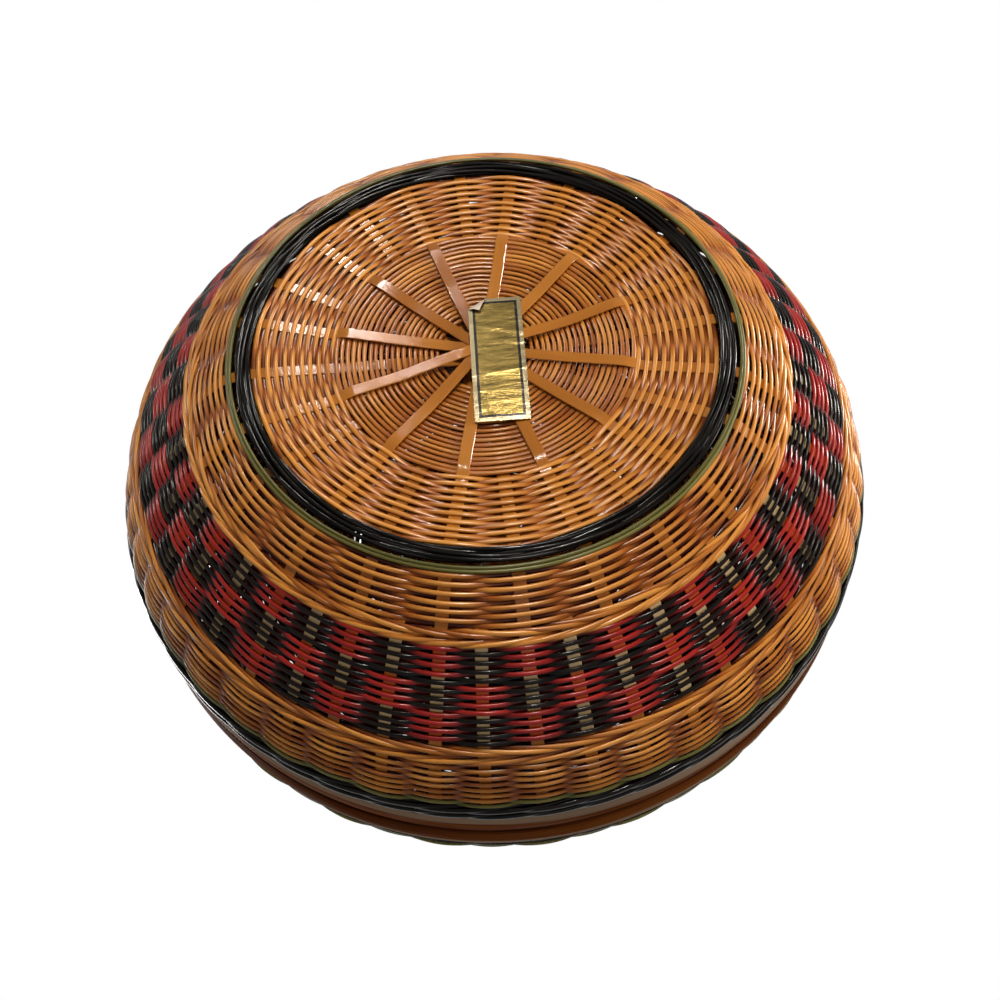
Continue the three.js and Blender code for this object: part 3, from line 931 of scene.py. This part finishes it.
def make_lid(lid_stakes):
    """The lid's strips, then its bands, its crown ring and the stakes added between the strip ends."""
    climb = [DOME.point(DOME.at_radius(radius), MIDDLE) for radius in STRIP_LID_RADII]
    climb += [(STAKE_RADIUS, height) for height in STRIP_LID_HEIGHTS]
    strips("lid", "lid", DOME, lid_stakes, CROWN_FINE_EDGE, climb, outwards=1, bows=np.zeros(STRIPS))
    ends = lid_stakes.angles(0.5)
    stakes = lid_stakes.angles(1.0, added=True)
    fine_places = [DOME.at_radius(radius) for radius in CROWN_FINE_ROWS]
    woven_band("crown_fine_rows", "lid", "crown_fine_weave", NATURAL, DOME, ends, fine_places, beats=(1,),
               width=1.62, depth=1.0, swing=0.13, middle=0.6, uneven=0.05, flat=1, square=0.8)
    lid_band("crown_outer_rows", "crown_outer_weave", ends, rows_between(*CROWN_BAND, CROWN_PITCH), NATURAL)
    lid_band("lid_inner_rows", "lid_weave_inner", ends, rows_between(*LID_INNER_BAND), NATURAL)
    lid_band("lid_outer_rows", "lid_weave_outer", stakes, rows_between(*LID_OUTER_BAND), NATURAL)
    lid_band("lid_olive_rows", "lid_olive_strands", stakes, LID_OLIVE_ROWS, OLIVE, width=1.2, middle=1.7)
    lid_border("lid_outer_border_strands", "lid_border_outer", stakes, LID_OUTER_BORDER, seed=41)
    lid_border("lid_inner_border_strands", "lid_border_inner", stakes, LID_INNER_BORDER, seed=42)
    check_places = rows_between(LID_CHECK_RADII[0], LID_CHECK_RADII[-1])
    half = len(check_places) // 2
    for tier, places in enumerate((check_places[:half], check_places[half:])):
        check_tier("lid_check", tier, "lid", DOME, stakes, places, f"lid_check_tier_{tier + 1}", width=1.45)
    waling = Piece()
    for k, place in enumerate(LID_WALING_ROWS):
        waled_row(waling, LID_SIDE, stakes, place, rise=0.5, width=1.6, depth=1.2, swing=0.5, middle=2.3,
                  seed=51 + k, sides=10)
    waling.build("lid_black_strands", "lid", BLACK, ["lid_black_waling"])
    for k, radius in enumerate(CROWN_RING_RADII):
        ring = Piece()
        place = DOME.at_radius(radius)
        plain_row(ring, DOME, place, lift=0.3, width=1.75, depth=1.7, seed=80 + k, sway=0.12)
        node = f"crown_ring_strand_{k + 1}"
        ring.build(node + "_black", "lid", BLACK, [node])
    inner_end = DOME.at_radius(LID_ADDED_RADIUS)
    added_stakes("lid_added_stakes", "lid", DOME, stakes[1::2], LID_ADDED_START, inner_end)


# The label, in millimetres

LABEL_LEFT, LABEL_RIGHT, LABEL_NEAR, LABEL_FAR = -3.7, 10.7, -15.8, 24.4
LABEL_THICKNESS = 0.12
LABEL_LEVEL = 2.12
LABEL_SLOT = "gold_label"

# The label's creases: angle in degrees, distance from the middle, height and width
CREASES = ((8, 9.5, 0.16, 0.8), (-14, -6.0, 0.12, 0.6), (4, 1.5, -0.09, 0.7), (-62, 9, 0.08, 0.9))

# The corner that has curled over, the slope of its fold, and where its tip has come to
CORNER_WIDTH, CORNER_LENGTH = 5.1, 3.6
CORNER_SLOPE = 0.7
CORNER_TIP = (-0.7, -11.3)


def shares(rows, columns):
    """Shares of 0 to 1 along and across a grid."""
    return np.meshgrid(np.linspace(0, 1, rows), np.linspace(0, 1, columns), indexing="ij")


def label_height(x, y):
    """The label lies on the stack of strips, follows them up at its ends and has a few creases."""
    stack_edge, bend = 8.6, 0.0022
    height = LABEL_LEVEL + bend * np.maximum(0, np.abs(y) - stack_edge) ** 2
    for angle, offset, ridge, width in CREASES:
        a = math.radians(angle)
        distance = y * math.cos(a) + x * math.sin(a) - offset
        height = height - ridge * np.exp(-np.abs(distance) / width)
    return height


def sheet(name, x, y, lift, material, nodes=()):
    """A thin sheet over a grid of places. lift is how far it stands out from the label's own height."""
    rows, columns = x.shape
    top = np.stack([x, y, label_height(x, y) - lift], -1).reshape(-1, 3)
    count = len(top)
    points = np.concatenate([top, top + [0, 0, LABEL_THICKNESS]]) * MM
    index = np.arange(count).reshape(rows, columns)
    cells = np.stack([index[1:, :-1], index[1:, 1:], index[:-1, 1:], index[:-1, :-1]], -1).reshape(-1, 4)
    faces = np.stack([cells, cells[:, ::-1] + count], 1).reshape(-1, 4).tolist()
    rim = np.concatenate([index[0], index[1:, -1], index[-1, -2::-1], index[-2:0:-1, 0]])
    following = np.roll(rim, -1)
    faces += np.stack([rim, following, following + count, rim + count], -1).tolist()
    mesh = bpy.data.meshes.new(name)
    mesh.from_pydata(points.tolist(), [], faces)
    uv = mesh.uv_layers.new(name="UVMap")
    for loop in mesh.loops:
        place_x, place_y, _ = mesh.vertices[loop.vertex_index].co
        uv.data[loop.index].uv = (place_x / MM - LABEL_LEFT, place_y / MM - LABEL_NEAR)
    mesh.polygons.foreach_set("use_smooth", np.ones(len(faces), bool))
    mesh.set_sharp_from_angle(angle=math.radians(40))
    add_piece(name, mesh, "basket", (material, LABEL_SLOT), nodes)


def make_label():
    """The gold label without its near left corner, and that corner curled over with its back outside."""
    foil, paper = foil_material(), paper_material()
    share_y, share_x = shares(81, 29)
    x = LABEL_LEFT + (LABEL_RIGHT - LABEL_LEFT) * share_x
    near = LABEL_NEAR + np.maximum(0, CORNER_LENGTH - CORNER_SLOPE * (x - LABEL_LEFT))
    y = near + (LABEL_FAR - near) * share_y
    sheet("label_foil", x, y, lift=0, material=foil, nodes=["label"])
    hem, curl, roll, nearly_all = 0.2, 0.7, 0.75, 0.98
    up, side = shares(9, 9)
    edge_x = LABEL_LEFT + CORNER_WIDTH * side
    edge_y = LABEL_NEAR + CORNER_LENGTH * (1 - side)
    flap_x = edge_x + (CORNER_TIP[0] - edge_x) * up * nearly_all
    flap_y = edge_y + (CORNER_TIP[1] - edge_y) * up * nearly_all
    lift = hem + curl * np.sin(math.pi * roll * up)
    sheet("label_curled_corner", flap_x, flap_y, lift, material=paper)


# Floor, light and camera, in metres

LAMP_TARGET = (0, 0, 0.05)


def make_floor():
    """A pale floor round the basket that fades out further away. Only the camera sees it, from above."""
    reach, fade_start, fade_end = 4, 0.25, 0.6
    mesh = bpy.data.meshes.new("floor")
    corners = [(-reach, -reach, 0), (reach, -reach, 0), (reach, reach, 0), (-reach, reach, 0)]
    mesh.from_pydata(corners, [], [(0, 1, 2, 3)])
    floor = bpy.data.objects.new("floor", mesh)
    bpy.context.scene.collection.objects.link(floor)
    material, tree, shader = new_material("floor")
    connect(tree, shader, {"Base Color": (0.86, 0.86, 0.86, 1), "Roughness": 0.9})
    ray = tree.nodes.new("ShaderNodeLightPath")
    back = tree.nodes.new("ShaderNodeNewGeometry").outputs["Backfacing"]
    above = compute(tree, "SUBTRACT", ray.outputs["Is Camera Ray"], back, clamp=True)
    distance = tree.nodes.new("ShaderNodeVectorMath")
    distance.operation = "LENGTH"
    connect(tree, distance, {0: tree.nodes.new("ShaderNodeTexCoord").outputs["Object"]})
    near = map_range(tree, distance.outputs["Value"], (fade_start, fade_end), (1, 0), "SMOOTHSTEP")
    clear = tree.nodes.new("ShaderNodeBsdfTransparent")
    shown = compute(tree, "MULTIPLY", above, near)
    mix = add_node(tree, "MixShader", {0: shown, 1: clear.outputs[0], 2: shader.outputs[0]})
    connect(tree, tree.nodes["Material Output"], {"Surface": mix.outputs[0]})
    mesh.materials.append(material)


def make_world():
    """Soft warm light from all sides, which the camera and reflections see as plain white."""
    world = bpy.data.worlds.new("studio")
    bpy.context.scene.world = world
    world.use_nodes = True
    tree = world.node_tree
    soft = tree.nodes["Background"]
    connect(tree, soft, {"Color": (1.0, 0.97, 0.93, 1), "Strength": 0.11})
    white = add_node(tree, "Background", {"Color": (1, 1, 1, 1), "Strength": 1.0})
    ray = tree.nodes.new("ShaderNodeLightPath")
    seen = compute(tree, "ADD", ray.outputs["Is Camera Ray"], ray.outputs["Is Glossy Ray"])
    seen = compute(tree, "ADD", seen, ray.outputs["Is Transmission Ray"], clamp=True)
    mix = add_node(tree, "MixShader", {0: seen, 1: soft.outputs[0], 2: white.outputs[0]})
    connect(tree, tree.nodes["World Output"], {"Surface": mix.outputs[0]})


def lamp(name, place, size, power, colour=(1, 0.95, 0.88), glints_only=False):
    """An area lamp that points at the basket's middle, or one that only adds glints to the varnish."""
    data = bpy.data.lights.new(name, "AREA")
    data.energy = power
    data.size = size
    data.color = colour
    thing = bpy.data.objects.new(name, data)
    bpy.context.scene.collection.objects.link(thing)
    thing.location = place
    thing.visible_camera = False
    thing.visible_diffuse = not glints_only
    thing.rotation_mode = "QUATERNION"
    thing.rotation_quaternion = Vector(np.subtract(LAMP_TARGET, place)).to_track_quat("-Z", "Y")


def make_lamps():
    """The photo shows the basket's underside, so most of the light comes from below. The top has its own."""
    daylight = (1, 0.98, 0.95)
    lamp("ceiling", (0.12, -0.3, -1.05), size=0.16, power=7.5)
    lamp("ceiling_glint", (0.05, -0.15, -1.0), size=0.06, power=20, glints_only=True)
    lamp("ladder_glint_1", (-0.0297, -0.128, -0.1215), size=0.016, power=0.22, glints_only=True)
    lamp("ladder_glint_2", (-0.0486, -0.1118, -0.119), size=0.016, power=0.22, glints_only=True)
    lamp("right", (0.87, -0.1, -0.26), size=0.16, power=5)
    lamp("right_glint", (0.86, -0.42, -0.15), size=0.16, power=21, glints_only=True)
    lamp("left_glint", (-0.86, -0.42, -0.3), size=0.12, power=5.5, glints_only=True)
    lamp("front", (0.15, 0.8, -0.45), size=0.4, power=1.2)
    lamp("top_key", (0.35, -0.55, 1.0), size=0.2, power=10, colour=daylight)
    lamp("top_fill", (-0.6, -0.2, 0.8), size=0.4, power=4, colour=daylight)
    lamp("top_glint", (-0.5, -0.4, 0.9), size=0.07, power=6, glints_only=True)


def make_camera():
    """The photo's camera, which looks up at the base from below the floor. Its angles are in degrees."""
    data = bpy.data.cameras.new("camera")
    data.lens = 46.8
    data.sensor_width = 36
    camera = bpy.data.objects.new("camera", data)
    bpy.context.scene.collection.objects.link(camera)
    camera.location = (0, 0.21508, -0.27104)
    camera.rotation_euler = [math.radians(angle) for angle in (-148.681, -1.903, 3.544)]
    bpy.context.scene.camera = camera
    bpy.context.scene.view_settings.view_transform = "Standard"


basket_stakes = Stakes(3)
make_base(basket_stakes)
make_foot()
make_wall(basket_stakes)
make_hoops()
make_lid(Stakes(11))
make_label()
make_floor()
make_world()
make_lamps()
make_camera()
